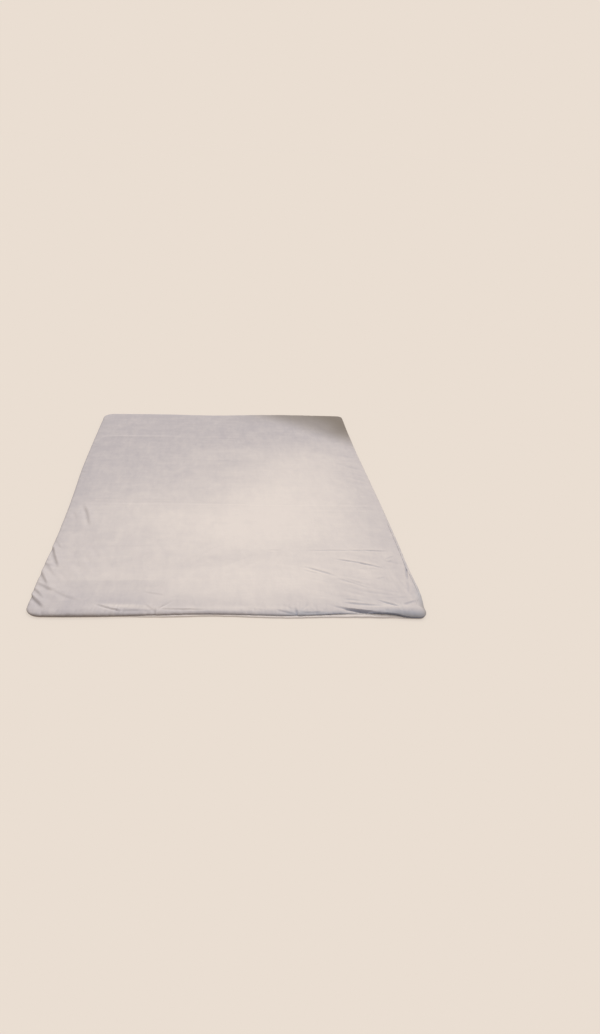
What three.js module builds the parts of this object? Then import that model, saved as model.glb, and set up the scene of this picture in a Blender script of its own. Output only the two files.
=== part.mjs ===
// Grounding blanket, laid flat on a surface.
// The plush upper panel bulges over its loft and rolls down round the rim to a seam. A thin lower panel
// lies under it, and its turned hem shows along the near short edge.
// Millimetres, +Z up. The origin is on the surface under the middle of the blanket. X runs along the short
// edges and Y along the long ones, and the near short edge is at -Y.

import * as THREE from "three";

// Driving dimensions

const WIDTH = 1520;
const LENGTH = 2030;
const LOFT = 18.5;
const RIM_DROP = 5;
const RIM_DROP_REACH = 26;
const LOWER_THICKNESS = 3;
const PIECE_GAP = 0.3;
const ROLL_INSET = 14;
const FLAT_UNDERSIDE_INSET = 25;
const HEM_ROUND = 0.4;
const CREST_CLEARANCE = 0.5;
const CORNER_RADIUS = { nearLeft: 62, nearRight: 38, farRight: 30, farLeft: 95 };

// Spacing of the mesh lines, closer where the folds are

const X_SPACING = [
  { upTo: -640, step: 18 },
  { upTo: 240, step: 59 },
  { upTo: 760, step: 20 },
];
const Y_SPACING = [
  { upTo: -880, step: 14 },
  { upTo: -360, step: 22 },
  { upTo: 590, step: 61 },
  { upTo: 665, step: 15 },
  { upTo: 955, step: 51 },
  { upTo: 1015, step: 20 },
];

// How far the upper panel's rim stands inside the nominal rectangle. "at" is X on the short sides and Y on
// the long ones.

const NEAR_RIM = [
  { at: -740, inset: 11 },
  { at: -600, inset: 12 },
  { at: -450, inset: 12 },
  { at: -340, inset: 16 },
  { at: -230, inset: 19 },
  { at: -120, inset: 21 },
  { at: 0, inset: 19 },
  { at: 110, inset: 14 },
  { at: 217, inset: 10 },
  { at: 330, inset: 12 },
  { at: 430, inset: 16 },
  { at: 520, inset: 13 },
  { at: 584, inset: 9 },
  { at: 630, inset: 4 },
  { at: 662, inset: 0 },
  { at: 720, inset: 0 },
];
const FAR_RIM = [
  { at: -700, inset: 38 },
  { at: -590, inset: 36 },
  { at: -470, inset: 31 },
  { at: -340, inset: 28 },
  { at: -220, inset: 30 },
  { at: -90, inset: 26 },
  { at: 40, inset: 12 },
  { at: 160, inset: 2 },
  { at: 290, inset: 0 },
  { at: 680, inset: 0 },
];
const LEFT_RIM = [
  { at: -950, inset: 0 },
  { at: -850, inset: 0 },
  { at: -715, inset: 1 },
  { at: -570, inset: 5 },
  { at: -410, inset: 9 },
  { at: -230, inset: 10 },
  { at: -40, inset: 7 },
  { at: 180, inset: 1 },
  { at: 430, inset: 2 },
  { at: 720, inset: 6 },
  { at: 880, inset: 9 },
];
const RIGHT_RIM = [
  { at: -1000, inset: 13 },
  { at: -960, inset: 13 },
  { at: -930, inset: 8 },
  { at: -900, inset: 5 },
  { at: -850, inset: 2 },
  { at: -710, inset: 6 },
  { at: -560, inset: 3 },
  { at: 0, inset: 2 },
  { at: 230, inset: 5 },
  { at: 490, inset: 7 },
  { at: 790, inset: 4 },
  { at: 950, inset: 0 },
];

// The seam where the two panels meet, along the near short edge and elsewhere. "height" is the seam's own and
// "hem" is the hem's. "tuck" is how far the seam lies behind the upper rim. "reach" is how far the hem stands
// out past that rim, below 0 where it is hidden behind it. "bulge" is where the rolled rim above the seam stands
// out furthest, as a share of its height.

const NEAR_SEAM = [
  { at: -430, height: 3.8, tuck: 4, reach: -4, hem: 3, bulge: 0.38 },
  { at: -330, height: 5.5, tuck: 3.5, reach: 3, hem: 5, bulge: 0.35 },
  { at: -230, height: 7, tuck: 3.5, reach: 7, hem: 6.5, bulge: 0.33 },
  { at: -90, height: 7, tuck: 3.5, reach: 4, hem: 6.5, bulge: 0.33 },
  { at: 40, height: 7, tuck: 3.5, reach: 6.5, hem: 6.5, bulge: 0.33 },
  { at: 220, height: 7, tuck: 3.5, reach: 7.5, hem: 6.5, bulge: 0.33 },
  { at: 330, height: 8, tuck: 4, reach: 8, hem: 7, bulge: 0.33 },
  { at: 430, height: 9, tuck: 4, reach: 12, hem: 8, bulge: 0.34 },
  { at: 520, height: 10.5, tuck: 4, reach: 11, hem: 9, bulge: 0.45 },
  { at: 584, height: 10, tuck: 5, reach: 9, hem: 8.5, bulge: 0.75 },
  { at: 630, height: 7, tuck: 6, reach: 4, hem: 6, bulge: 0.67 },
  { at: 665, height: 4.2, tuck: 6, reach: -1, hem: 3.5, bulge: 0.48 },
  { at: 740, height: 3.8, tuck: 5, reach: -4, hem: 3, bulge: 0.42 },
];
const PLAIN_SEAM = { height: 3.8, tuck: 5, reach: -4, hem: 3, bulge: 0.42 };

// Broad swells and hollows of the upper panel

const SWELLS = [
  { x: 640, y: -990, spanX: 170, spanY: 44, rise: 11 },
  { x: 735, y: -925, spanX: 40, spanY: 60, rise: 3.5 },
  { x: -560, y: -985, spanX: 130, spanY: 34, rise: 2 },
  { x: 60, y: 1010, spanX: 190, spanY: 130, rise: -4.5 },
  { x: 480, y: 990, spanX: 260, spanY: 130, rise: 2 },
  { x: -460, y: -862, spanX: 180, spanY: 58, rise: -2.5 },
  { x: 540, y: -760, spanX: 120, spanY: 90, rise: 2.5 },
  { x: 640, y: -630, spanX: 90, spanY: 40, rise: 1.5 },
  { x: 300, y: 180, spanX: 260, spanY: 320, rise: 1.2 },
  { x: -330, y: 330, spanX: 240, spanY: 260, rise: -1.2 },
];

// Folds of the upper panel, as lines on the spread cloth. A fold that runs past the outline goes on over the
// rolled rim. "bow" is how far the line bends to its left, "depth" is the trough's (negative for a raised
// ridge), and "ridge" is the height of the shoulder beside it, on its left or, where negative, on its right.

const FOLDS = [
  // Puckers of the left edge
  { x0: -755, y0: -475, x1: -710, y1: -570, bow: 0, depth: 2, width: 12, ridge: 1 },
  { x0: -775, y0: -510, x1: -690, y1: -720, bow: 3, depth: 4.5, width: 12, ridge: 2.5 },
  { x0: -770, y0: -640, x1: -695, y1: -775, bow: 0, depth: 2.5, width: 12, ridge: 1.5 },
  { x0: -775, y0: -700, x1: -710, y1: -835, bow: 0, depth: 3.2, width: 12, ridge: 2 },
  { x0: -765, y0: -790, x1: -680, y1: -865, bow: -4, depth: 3.5, width: 12, ridge: 2.2 },
  { x0: -790, y0: -845, x1: -690, y1: -975, bow: 0, depth: 5, width: 12, ridge: 3 },
  { x0: -675, y0: -165, x1: -625, y1: -395, bow: 2, depth: 3, width: 16, ridge: 2 },
  // Creases and gathers of the near edge
  { x0: -515, y0: -940, x1: -400, y1: -985, bow: -2, depth: 3, width: 11, ridge: 1.5 },
  { x0: -285, y0: -950, x1: -285, y1: -1050, bow: 0, depth: 3, width: 11, ridge: 0 },
  { x0: -285, y0: -970, x1: -90, y1: -975, bow: 0, depth: 2, width: 11, ridge: 0 },
  { x0: 245, y0: -950, x1: 245, y1: -1060, bow: 0, depth: 3.5, width: 11, ridge: 0 },
  { x0: 160, y0: -975, x1: 245, y1: -1005, bow: 0, depth: 2.2, width: 11, ridge: 1 },
  // Deep fold beside the near right corner, and the creases that gather above it
  { x0: 385, y0: -955, x1: 660, y1: -1040, bow: 0, depth: 9, width: 12, ridge: 3 },
  { x0: 420, y0: -935, x1: 595, y1: -970, bow: 0, depth: 3, width: 12, ridge: 1.5 },
  { x0: 565, y0: -920, x1: 650, y1: -975, bow: 0, depth: 4, width: 12, ridge: 2.2 },
  { x0: 655, y0: -960, x1: 725, y1: -930, bow: 0, depth: 2.2, width: 12, ridge: 0 },
  { x0: 755, y0: -640, x1: 720, y1: -810, bow: 3, depth: 3.5, width: 12, ridge: 2 },
  // Creases spread over the near right quarter
  { x0: 290, y0: -575, x1: 735, y1: -580, bow: 4, depth: 2.5, width: 13, ridge: 1 },
  { x0: 430, y0: -635, x1: 655, y1: -715, bow: 7, depth: 4, width: 13, ridge: 2.2 },
  { x0: 295, y0: -695, x1: 450, y1: -775, bow: 6, depth: 2.5, width: 13, ridge: 1.2 },
  { x0: 425, y0: -775, x1: 560, y1: -855, bow: 2, depth: 3, width: 13, ridge: 1.5 },
  { x0: 660, y0: -645, x1: 710, y1: -615, bow: 0, depth: 2, width: 13, ridge: 0 },
  { x0: 605, y0: 310, x1: 740, y1: 225, bow: 0, depth: 3, width: 30, ridge: 1.5 },
  // Raised ridge of the far left quarter
  { x0: -730, y0: 620, x1: -215, y1: 635, bow: 3, depth: -2.4, width: 14, ridge: 0 },
];
const FOLD_FADE = 0.3;
const SHOULDER_OFFSET = 1.6;
const SHOULDER_WIDTH = 1.2;

// Sections of the rolled rim, as turns of its round in degrees: down from the top, then back in to the seam

const UPPER_TURNS = [32, 62, 90];
const LOWER_TURNS = [48, 90];

const halfWidth = WIDTH / 2;
const halfLength = LENGTH / 2;

function smooth(t) {
  const u = THREE.MathUtils.clamp(t, 0, 1);
  return u * u * (3 - 2 * u);
}

// The slope of a table's column at one of its rows

function slopeAt(rows, column, i) {
  const before = rows[Math.max(i - 1, 0)];
  const after = rows[Math.min(i + 1, rows.length - 1)];
  return (after[column] - before[column]) / (after.at - before.at);
}

// The value of one column of a table at a place along it, on a smooth curve through its rows

function along(rows, column, at) {
  const place = THREE.MathUtils.clamp(at, rows[0].at, rows[rows.length - 1].at);
  const next = Math.max(rows.findIndex((row) => place <= row.at), 1);
  const from = rows[next - 1];
  const to = rows[next];
  const step = to.at - from.at;
  const t = (place - from.at) / step;
  const start = from[column] * (1 + 2 * t) + slopeAt(rows, column, next - 1) * step * t;
  const end = to[column] * (3 - 2 * t) - slopeAt(rows, column, next) * step * (1 - t);
  return start * (1 - t) * (1 - t) + end * t * t;
}

function gridLines(start, spacing) {
  const lines = [start];
  for (const { upTo, step } of spacing) {
    const from = lines[lines.length - 1];
    const count = Math.ceil((upTo - from) / step);
    for (let i = 1; i <= count; i++) {
      lines.push(from + ((upTo - from) * i) / count);
    }
  }
  return lines;
}

function cornerRadius(x, y) {
  const end = y < 0 ? "near" : "far";
  const side = x < 0 ? "Left" : "Right";
  return CORNER_RADIUS[end + side];
}

// The rim beside a point on the nominal rectangle: its place, the way out, and the seam under it

function rimAt(x, y) {
  const radius = cornerRadius(x, y);
  const pastX = Math.abs(x) - (halfWidth - radius);
  const pastY = Math.abs(y) - (halfLength - radius);
  const out = new THREE.Vector2();
  const place = new THREE.Vector2(x, y);
  if (pastX > 0 && pastY > 0) {
    const share = pastX >= pastY ? pastY / radius : 2 - pastX / radius;
    const turn = (share * Math.PI) / 4;
    out.set(Math.sign(x) * Math.cos(turn), Math.sign(y) * Math.sin(turn));
    place.set(Math.sign(x) * (halfWidth - radius), Math.sign(y) * (halfLength - radius));
    place.addScaledVector(out, radius);
  } else if (Math.abs(x) === halfWidth) {
    out.set(Math.sign(x), 0);
  } else {
    out.set(0, Math.sign(y));
  }
  const sideInset = along(x < 0 ? LEFT_RIM : RIGHT_RIM, "inset", place.y);
  const endInset = along(y < 0 ? NEAR_RIM : FAR_RIM, "inset", place.x);
  const endShare = out.y * out.y;
  place.addScaledVector(out, -THREE.MathUtils.lerp(sideInset, endInset, endShare));
  const seam = {};
  for (const column of Object.keys(PLAIN_SEAM)) {
    const plain = PLAIN_SEAM[column];
    const end = y < 0 ? along(NEAR_SEAM, column, place.x) : plain;
    seam[column] = THREE.MathUtils.lerp(plain, end, endShare);
  }
  return { place, out, seam };
}

function insetPlace(rim, inset) {
  return rim.place.clone().addScaledVector(rim.out, -inset);
}

// Height of the upper panel without its folds

function loftAt(x, y) {
  const fromSide = Math.max(halfWidth - Math.abs(x), 0);
  const fromEnd = Math.max(halfLength - Math.abs(y), 0);
  const sideDrop = Math.exp(-fromSide / RIM_DROP_REACH);
  const endDrop = Math.exp(-fromEnd / RIM_DROP_REACH);
  let height = LOFT - RIM_DROP * (1 - (1 - sideDrop) * (1 - endDrop));
  for (const swell of SWELLS) {
    const u = (x - swell.x) / swell.spanX;
    const v = (y - swell.y) / swell.spanY;
    height += swell.rise * Math.exp(-u * u - v * v);
  }
  return height;
}

// How far the folds push the cloth out of its smooth form at a point of the spread cloth

function foldAt(x, y) {
  let push = 0;
  for (const fold of FOLDS) {
    const dx = fold.x1 - fold.x0;
    const dy = fold.y1 - fold.y0;
    const length = Math.hypot(dx, dy);
    const share = ((x - fold.x0) * dx + (y - fold.y0) * dy) / (length * length);
    if (share <= 0 || share >= 1) continue;
    const bend = 4 * fold.bow * share * (1 - share);
    const across = (dx * (y - fold.y0) - dy * (x - fold.x0)) / length - bend;
    const fade = smooth(share / FOLD_FADE) * smooth((1 - share) / FOLD_FADE);
    const shoulder = across - Math.sign(fold.ridge) * SHOULDER_OFFSET * fold.width;
    const trough = Math.exp(-((across / fold.width) ** 2));
    const bank = Math.exp(-((shoulder / (SHOULDER_WIDTH * fold.width)) ** 2));
    push += fade * (Math.abs(fold.ridge) * bank - fold.depth * trough);
  }
  return push;
}

// A mesh of rows of points, closed by adding faces

class Surface {
  constructor() {
    this.points = [];
    this.faces = [];
  }

  add(x, y, z) {
    this.points.push(x, y, z);
    return this.points.length / 3 - 1;
  }

  quad(a, b, c, d) {
    this.faces.push(a, b, c, a, c, d);
  }

  // Joins two rings of points, the second below or outside the first. A crossed band splits its quads the
  // other way, so that a band that faces another one, turned over, keeps the same slopes.
  band(upper, lower, crossed = false) {
    upper.forEach((point, i) => {
      const next = (i + 1) % upper.length;
      if (crossed) this.quad(lower[i], lower[next], upper[next], point);
      else this.quad(point, lower[i], lower[next], upper[next]);
    });
  }

  // Fills a ring with flat faces that look up or down
  fill(ring, up) {
    const outline = ring.map((i) => new THREE.Vector2(this.points[3 * i], this.points[3 * i + 1]));
    for (const [a, b, c] of THREE.ShapeUtils.triangulateShape(outline, [])) {
      if (up) this.faces.push(ring[a], ring[b], ring[c]);
      else this.faces.push(ring[a], ring[c], ring[b]);
    }
  }

  geometry() {
    const geometry = new THREE.BufferGeometry();
    geometry.setAttribute("position", new THREE.Float32BufferAttribute(this.points, 3));
    geometry.setIndex(this.faces);
    geometry.computeVertexNormals();
    return geometry;
  }
}

const xLines = gridLines(-halfWidth, X_SPACING);
const yLines = gridLines(-halfLength, Y_SPACING);
const lastX = xLines.length - 1;
const lastY = yLines.length - 1;

// The grid's rim, anticlockwise from the near left corner, as pairs of line numbers

function rimWalk() {
  const walk = [];
  for (let i = 0; i < lastX; i++) walk.push([i, 0]);
  for (let j = 0; j < lastY; j++) walk.push([lastX, j]);
  for (let i = lastX; i > 0; i--) walk.push([i, lastY]);
  for (let j = lastY; j > 0; j--) walk.push([0, j]);
  return walk;
}

const walk = rimWalk();
const rims = walk.map(([i, j]) => rimAt(xLines[i], yLines[j]));

// The place of a grid point, blended from the four uneven sides

function gridPlace(i, j) {
  const u = (xLines[i] + halfWidth) / WIDTH;
  const v = (yLines[j] + halfLength) / LENGTH;
  const side = (x, y) => insetPlace(rimAt(x, y), ROLL_INSET);
  const place = new THREE.Vector2();
  place.addScaledVector(side(xLines[i], -halfLength), 1 - v);
  place.addScaledVector(side(xLines[i], halfLength), v);
  place.addScaledVector(side(-halfWidth, yLines[j]), 1 - u);
  place.addScaledVector(side(halfWidth, yLines[j]), u);
  place.addScaledVector(side(-halfWidth, -halfLength), -(1 - u) * (1 - v));
  place.addScaledVector(side(halfWidth, -halfLength), -u * (1 - v));
  place.addScaledVector(side(-halfWidth, halfLength), -(1 - u) * v);
  place.addScaledVector(side(halfWidth, halfLength), -u * v);
  return place;
}

// Points of the rolled rim below one point of the grid's edge

function rollSection(rim) {
  const edge = insetPlace(rim, ROLL_INSET);
  const top = loftAt(edge.x, edge.y);
  const { height, tuck, bulge } = rim.seam;
  const middle = height + bulge * (top - height);
  const section = [];
  let spread = ROLL_INSET;
  let before = { inset: ROLL_INSET, z: top };
  const step = (inset, z, outward, upward) => {
    spread -= Math.hypot(inset - before.inset, z - before.z);
    before = { inset, z };
    const cloth = insetPlace(rim, spread);
    const push = foldAt(cloth.x, cloth.y);
    const place = insetPlace(rim, inset - push * outward);
    section.push(new THREE.Vector3(place.x, place.y, z + push * upward));
  };
  for (const degrees of UPPER_TURNS) {
    const turn = THREE.MathUtils.degToRad(degrees);
    const drop = (top - middle) * Math.cos(turn);
    step(ROLL_INSET * (1 - Math.sin(turn)), middle + drop, Math.sin(turn), Math.cos(turn));
  }
  for (const degrees of LOWER_TURNS) {
    const turn = THREE.MathUtils.degToRad(degrees);
    const drop = (middle - height) * Math.sin(turn);
    step(tuck * (1 - Math.cos(turn)), middle - drop, Math.cos(turn), 0);
  }
  return section;
}

// Upper panel over its loft

function upperPanel() {
  const surface = new Surface();
  const grid = yLines.map((_, j) =>
    xLines.map((_, i) => {
      const place = gridPlace(i, j);
      return surface.add(place.x, place.y, loftAt(place.x, place.y) + foldAt(place.x, place.y));
    }),
  );
  for (let j = 0; j < lastY; j++) {
    for (let i = 0; i < lastX; i++) {
      surface.quad(grid[j][i], grid[j][i + 1], grid[j + 1][i + 1], grid[j + 1][i]);
    }
  }
  const sections = rims.map(rollSection);
  let upper = walk.map(([i, j]) => grid[j][i]);
  for (let k = 0; k < UPPER_TURNS.length + LOWER_TURNS.length; k++) {
    const lower = sections.map((section) => surface.add(...section[k].toArray()));
    surface.band(upper, lower);
    upper = lower;
  }
  const flat = rims.map((rim) => {
    const place = insetPlace(rim, FLAT_UNDERSIDE_INSET);
    return surface.add(place.x, place.y, LOWER_THICKNESS + PIECE_GAP);
  });
  surface.band(upper, flat, true);
  surface.fill(flat, false);
  return surface.geometry();
}

// The hem's top, which keeps clear of the seam behind it

function hemCrest(seam) {
  return {
    inset: Math.min(HEM_ROUND * seam.hem - seam.reach, seam.tuck - CREST_CLEARANCE),
    z: Math.min(seam.hem, seam.height - 2 * PIECE_GAP),
  };
}

// Lower panel with its turned hem

function lowerPanel() {
  const surface = new Surface();
  const ring = (place) =>
    rims.map((rim) => {
      const { inset, z } = place(rim.seam);
      const point = insetPlace(rim, inset);
      return surface.add(point.x, point.y, z);
    });
  const rings = [
    ring(() => ({ inset: FLAT_UNDERSIDE_INSET, z: LOWER_THICKNESS })),
    ring((seam) => ({ inset: seam.tuck, z: seam.height - PIECE_GAP })),
    ring(hemCrest),
    ring((seam) => ({ inset: -seam.reach, z: seam.hem / 2 })),
    ring((seam) => ({ inset: HEM_ROUND * seam.hem - seam.reach, z: 0 })),
  ];
  surface.fill(rings[0], true);
  for (let k = 1; k < rings.length; k++) surface.band(rings[k - 1], rings[k]);
  surface.fill(rings[rings.length - 1], false);
  return surface.geometry();
}

// The blanket

const plush = new THREE.MeshStandardMaterial({ color: 0xd6ccc8, roughness: 0.92, metalness: 0 });
const plushBack = new THREE.MeshStandardMaterial({ color: 0xdad0c9, roughness: 0.94, metalness: 0 });

const face = new THREE.Mesh(upperPanel(), plush);
face.name = "face_panel";

const back = new THREE.Mesh(lowerPanel(), plushBack);
back.name = "back_panel";

const blanket = new THREE.Group();
blanket.add(face, back);

const middle = new THREE.Box3().setFromObject(blanket).getCenter(new THREE.Vector3());
blanket.position.set(-middle.x, -middle.y, 0);

export default blanket;
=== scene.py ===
# %% [markdown]
# # A plush grounding blanket, laid flat
# The blanket is two rectangles of short-pile plush sewn together round the rim, the upper one over a soft
# loft. It lies spread on a floor, so what there is to see is how cloth lies: a rim that rolls down to its
# seam, puckers where the seam gathers it, a deep fold at one corner, pressed packing lines, and a nap that
# was brushed in patches. The solids that this scene dresses fix the size and the place of everything, so
# the first step is to load them and to read the size of their box.

# %% Load the frame
import math

import bpy
import numpy as np
from mathutils import Matrix, Vector


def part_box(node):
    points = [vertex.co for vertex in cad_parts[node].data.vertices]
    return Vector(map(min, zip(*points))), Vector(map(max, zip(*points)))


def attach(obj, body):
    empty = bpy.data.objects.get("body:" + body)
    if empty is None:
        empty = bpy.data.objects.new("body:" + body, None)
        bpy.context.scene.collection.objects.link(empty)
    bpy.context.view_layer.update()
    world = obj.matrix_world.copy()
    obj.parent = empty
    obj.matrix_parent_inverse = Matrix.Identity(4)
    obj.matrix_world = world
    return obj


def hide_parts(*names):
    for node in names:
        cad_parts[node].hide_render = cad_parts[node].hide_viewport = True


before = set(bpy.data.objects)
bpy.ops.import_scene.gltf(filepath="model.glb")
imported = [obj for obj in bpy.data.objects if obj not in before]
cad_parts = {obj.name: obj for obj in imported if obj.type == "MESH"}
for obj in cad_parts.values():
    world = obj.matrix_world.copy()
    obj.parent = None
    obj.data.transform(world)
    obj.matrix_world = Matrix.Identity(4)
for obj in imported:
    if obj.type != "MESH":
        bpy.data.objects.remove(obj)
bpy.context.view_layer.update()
FACE_LOW, FACE_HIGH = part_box("face_panel")
print("nodes:", sorted(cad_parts))
print("face panel, metres:", [round(v, 3) for v in FACE_HIGH - FACE_LOW])

# %% [markdown]
# ## The camera
# The picture is taken from beside the short edge of the blanket, at standing eye height, with an ordinary
# wide lens. A camera's place could be guessed and nudged, but a rectangle of known size gives it exactly:
# the way its sides run together says how wide the lens is, and how much shorter the far edge looks says
# how high the eye is. The small sideways shift of the lens places the blanket left of the middle.

# %% Place the camera
# In metres, with the lens and its sensor in millimetres
EYE = Vector((-0.0796, -2.887, 1.5511))
LOOK_DOWN = math.radians(30.465)
TURN_RIGHT = math.radians(5.4)
TILT = math.radians(3.16)
LENS = 22.388
SENSOR = 36.0
LENS_SHIFT = 0.035
FAR_CLIP = 1000.0

camera_data = bpy.data.cameras.new("camera")
camera_data.sensor_width = SENSOR
camera_data.lens = LENS
camera_data.shift_x = LENS_SHIFT
camera_data.clip_end = FAR_CLIP
camera = bpy.data.objects.new("camera", camera_data)
bpy.context.scene.collection.objects.link(camera)
bpy.context.scene.camera = camera
turn = Matrix.Rotation(-TURN_RIGHT, 4, "Z")
pitch = Matrix.Rotation(math.pi / 2 - LOOK_DOWN, 4, "X")
tilt = Matrix.Rotation(TILT, 4, "Z")
camera.matrix_world = Matrix.Translation(EYE) @ turn @ pitch @ tilt
print("eye height, metres:", EYE.z, "looking down, degrees:", round(math.degrees(LOOK_DOWN), 1))

# %% [markdown]
# ## Nodes written as sums
# A material is easier to read as arithmetic than as a drawing of boxes and wires. This class holds one
# socket of a node tree, and its operators add the Math node for what the expression says. Colours and
# vectors keep their own nodes, because a Math node would turn a colour grey.

# %% A socket that can be added and multiplied
class Wire:
    """One output socket of a node tree, for arithmetic on numbers that vary over a surface."""

    def __init__(self, tree, socket):
        self.tree = tree
        self.socket = socket

    def math(self, operation, *values):
        """A Math node for this operation on numbers and wires."""
        return node(self.tree, "ShaderNodeMath", {"operation": operation}, dict(enumerate(values)))

    def __add__(self, other):
        return self.math("ADD", self, other)

    __radd__ = __add__

    def __sub__(self, other):
        return self.math("SUBTRACT", self, other)

    def __rsub__(self, other):
        return self.math("SUBTRACT", other, self)

    def __mul__(self, other):
        return self.math("MULTIPLY", self, other)

    __rmul__ = __mul__


def node(tree, kind, settings=None, inputs=None, output=0):
    """Adds a node: its settings first, then the values or links of its sockets."""
    made = tree.nodes.new(kind)
    for name, value in (settings or {}).items():
        setattr(made, name, value)
    for name, value in (inputs or {}).items():
        if isinstance(value, Wire):
            tree.links.new(value.socket, made.inputs[name])
        else:
            made.inputs[name].default_value = value
    return Wire(tree, made.outputs[output])


# %% Colours that go into a node
def linear(red, green, blue):
    """The linear colour of one that is given as a screen shows it, from 0 to 255."""
    shown = [c / 255 for c in (red, green, blue)]
    return tuple(c / 12.92 if c <= 0.04045 else ((c + 0.055) / 1.055) ** 2.4 for c in shown)


# A Mix node has its sockets for numbers, vectors and colours under the same names, so the ones for
# colours go by number
MIX_SHARE, MIX_LOW, MIX_HIGH, MIX_RESULT = 0, 6, 7, 2


def mixed(tree, share, low, high, blend="MIX"):
    """A colour between two others, each a colour or a wire."""
    sides = {MIX_LOW: low, MIX_HIGH: high}
    values = {k: v if isinstance(v, Wire) else (*v, 1.0) for k, v in sides.items()}
    settings = {"data_type": "RGBA", "blend_type": blend}
    return node(tree, "ShaderNodeMix", settings, {MIX_SHARE: share, **values}, output=MIX_RESULT)


print("middle grey on a screen, as a linear colour:", [round(c, 3) for c in linear(128, 128, 128)])

# %% [markdown]
# ## Floor and light
# A plain pale floor that runs on to the horizon with no edge is what a photographer's paper sweep gives. A
# real sweep needs a curved wall, but here the sky can do its work: it is the floor's own colour up to well
# above the horizon, so floor and background meet without a line. Above that the sky is a soft white
# ceiling, which is the studio's overhead light, and one broad sun from beyond the far edge, a little to
# the right, gives the folds their dark and light sides. A cloth on bright paper throws hardly any shadow,
# because light also comes back out of the paper round it. A light table does the same, so here most of the
# floor's brightness is its own glow. The rest is its colour, which is worked out backwards, so that under
# all this light the floor looks like the sky.

# %% Colours and places of the sky, the sun and the floor
PAPER = np.array(linear(234, 222, 210))
CEILING = np.array((0.84, 0.87, 0.92))

# Sines of the angles above the horizon between which the paper's colour turns into the ceiling's
CEILING_FROM = math.sin(math.radians(38))
CEILING_FULL = math.sin(math.radians(52))

# The sun's light on a level surface, where 1 is white, its colour, how broad it is, how high it stands, and
# where it stands, turned from +X towards +Y
SUN_SHARE = 0.32
SUN_COLOUR = (1.0, 0.975, 0.94)
SUN_SPREAD = math.radians(34)
SUN_HEIGHT = math.radians(60)
SUN_FROM = math.radians(68)

# How far the floor reaches and how far it lies below the blanket, in metres, and the share of its brightness
# that is its own glow
FLOOR_REACH = 120.0
FLOOR_DROP = 0.0004
FLOOR_GLOW = 0.75

# %% Make the sky and the sun
scene = bpy.context.scene
scene.view_settings.view_transform = "Standard"

world = bpy.data.worlds.new("studio")
scene.world = world
world.use_nodes = True
sky = world.node_tree
direction = node(sky, "ShaderNodeTexCoord", output="Generated")
height = node(sky, "ShaderNodeSeparateXYZ", inputs={0: direction}, output="Z")
to_ceiling = node(
    sky,
    "ShaderNodeMapRange",
    {"interpolation_type": "SMOOTHSTEP"},
    {"Value": height, "From Min": CEILING_FROM, "From Max": CEILING_FULL},
)
sky_colour = mixed(sky, to_ceiling, tuple(PAPER), tuple(CEILING))
sky.links.new(sky_colour.socket, sky.nodes["Background"].inputs["Color"])

sun_data = bpy.data.lights.new("sun", "SUN")
sun_data.energy = SUN_SHARE * math.pi / math.sin(SUN_HEIGHT)
sun_data.angle = SUN_SPREAD
sun_data.color = SUN_COLOUR
sun = bpy.data.objects.new("sun", sun_data)
scene.collection.objects.link(sun)
towards = Vector((math.cos(SUN_FROM), math.sin(SUN_FROM), math.tan(SUN_HEIGHT)))
sun.rotation_euler = towards.to_track_quat("Z", "Y").to_euler()

# A level surface gets this share of the sky's light from below the ceiling
middle_height = (CEILING_FROM + CEILING_FULL) / 2
low_share = middle_height**2
daylight = PAPER * low_share + CEILING * (1 - low_share) + SUN_SHARE * np.array(sun_data.color)
floor_colour = PAPER * (1 - FLOOR_GLOW) / daylight
print("light on a level surface:", daylight.round(3), "floor colour:", floor_colour.round(3))

# %% Make the floor
def glowing_material(name, colour, glow):
    """A matt material of one colour that also gives light of its own."""
    material = bpy.data.materials.new(name)
    material.use_nodes = True
    shader = material.node_tree.nodes["Principled BSDF"]
    shader.inputs["Base Color"].default_value = (*colour, 1.0)
    shader.inputs["Roughness"].default_value = 1.0
    shader.inputs["Specular IOR Level"].default_value = 0.0
    shader.inputs["Emission Color"].default_value = (*glow, 1.0)
    shader.inputs["Emission Strength"].default_value = 1.0
    return material


floor_mesh = bpy.data.meshes.new("floor")
corners = [(-1, -1), (1, -1), (1, 1), (-1, 1)]
floor_points = [(FLOOR_REACH * x, FLOOR_REACH * y, -FLOOR_DROP) for x, y in corners]
floor_mesh.from_pydata(floor_points, [], [(0, 1, 2, 3)])
floor_mesh.materials.append(glowing_material("floor_paper", floor_colour, PAPER * FLOOR_GLOW))
floor = bpy.data.objects.new("floor", floor_mesh)
scene.collection.objects.link(floor)

# %% [markdown]
# ## The outline
# No sewn blanket is a true rectangle. Its rim wanders in and out by up to a few centimetres, and each
# corner is turned to a round of its own. Tables of a few rows say how far the rim stands inside the nominal
# rectangle at places along each side, and a smooth curve joins the rows. More tables hold the seam, how
# high it runs, how far it is tucked under and how far the hem of the lower panel stands out beneath it, and
# the roll above the seam, which is a soft round nearly everywhere and a broad bevel with a sharp shoulder
# at the near right corner.

# %% Tables of the rim and the seam, in millimetres
MM = 0.001
WIDTH = 1520.0
LENGTH = 2030.0
HALF_WIDTH = WIDTH / 2
HALF_LENGTH = LENGTH / 2
NEAR_LEFT_RADIUS, NEAR_RIGHT_RADIUS = 62.0, 47.0
FAR_LEFT_RADIUS, FAR_RIGHT_RADIUS = 95.0, 30.0

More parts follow.
